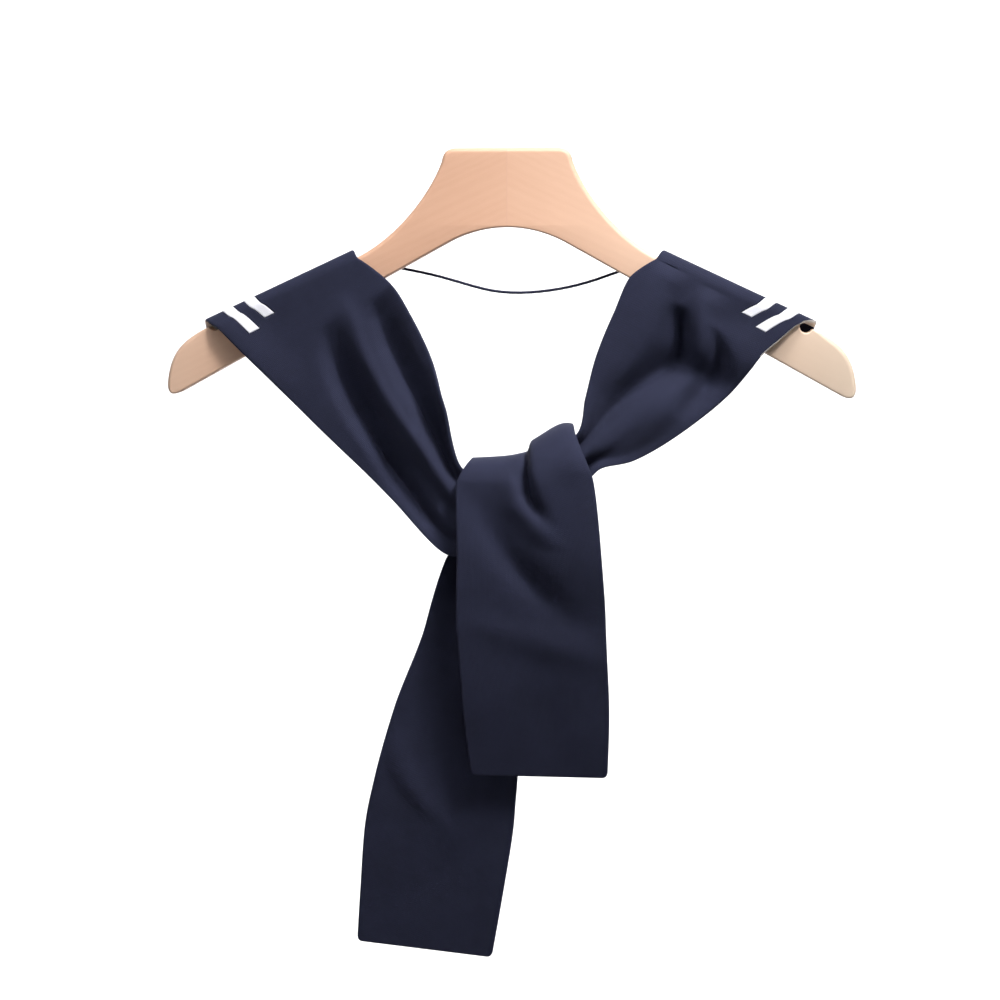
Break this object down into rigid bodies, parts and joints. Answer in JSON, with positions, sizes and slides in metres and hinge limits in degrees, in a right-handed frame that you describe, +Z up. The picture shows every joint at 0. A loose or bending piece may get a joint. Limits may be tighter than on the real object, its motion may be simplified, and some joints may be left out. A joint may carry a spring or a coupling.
{
  "type": "sailor collar on a wooden hanger",
  "caption": "Knitted sailor collar with white stripes at the shoulder hems, tied in a half knot, hanging on a flat wooden hanger.",
  "frame": {"origin": "middle of the flat top of the hanger's neck, where the hanger is held up", "axes": "+Z up, +X to the right seen from the front, the front faces -Y"},
  "size_m": [0.427, 0.0542, 0.5106],
  "materials": {
    "wood": "pale sanded wood, satin",
    "navy_knit": "fine navy jersey knit, matt with a soft sheen",
    "white_knit": "white knit, matt",
    "cord": "thin navy knitted edge cord"
  },
  "bodies": {
    "root": {"hanger": "wood", "left_panel": "navy_knit", "right_panel": "navy_knit", "left_outer_stripe": "white_knit", "left_inner_stripe": "white_knit", "right_outer_stripe": "white_knit", "right_inner_stripe": "white_knit", "neck_cord": "cord"}
  },
  "joints": []
}
